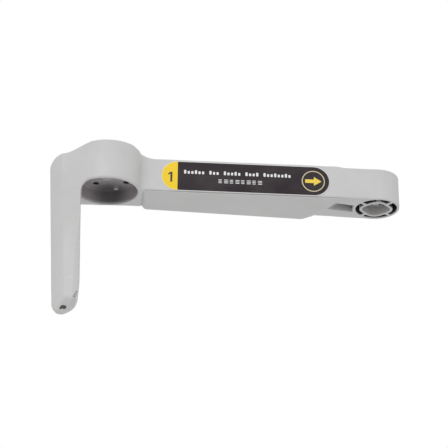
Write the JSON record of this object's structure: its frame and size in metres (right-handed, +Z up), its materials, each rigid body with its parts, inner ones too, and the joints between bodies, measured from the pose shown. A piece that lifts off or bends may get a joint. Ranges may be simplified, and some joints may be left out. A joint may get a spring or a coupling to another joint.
{
  "type": "folding drone arm",
  "caption": "Bare folding front arm of a small camera drone: motor mount, landing leg, beam with label and sprung hinge cartridge.",
  "frame": {"origin": "on the hinge axis, at the top face of the hinge shaft's flange, which meets the airframe", "axes": "+Z up along the hinge axis, out of the flange toward the airframe; the folded arm runs toward -X; the labelled face looks toward -Y"},
  "size_m": [0.0988, 0.0198, 0.0475],
  "materials": {
    "shell": "light grey, fine matte texture",
    "label": "printed film, satin",
    "board": "solder mask",
    "foam": "dull foam",
    "barrel": "grey, satin",
    "steel": "turned",
    "friction": "dull",
    "spring": "drawn wire",
    "bronze": "sintered"
  },
  "bodies": {
    "hinge_base": {"hinge_shaft": "steel", "friction_washer": "friction", "fixed_cam": "steel", "thrust_washer": "bronze", "slotted_nut": "steel"},
    "arm": {"arm_shell": "shell", "arm_cover": "shell", "leg_cover": "shell", "instruction_label": "label", "antenna_board": "board", "antenna_pad": "foam", "hinge_barrel": "barrel", "spring_seat": "steel"},
    "follower": {"cam_follower": "steel", "detent_spring": "spring"}
  },
  "joints": [
    {"name": "unfold", "type": "hinge", "parent": "hinge_base", "child": "arm", "pos_m": [0, 0, 0], "axis": [0, 0, 1], "range_deg": [0, 120]},
    {"name": "cam_lift", "type": "slide", "parent": "arm", "child": "follower", "axis": [0, 0, -1], "range_m": [0, 0.0007], "stiffness_N_per_m": 3000, "springref_m": -0.0015, "deforming": ["detent_spring"]}
  ]
}
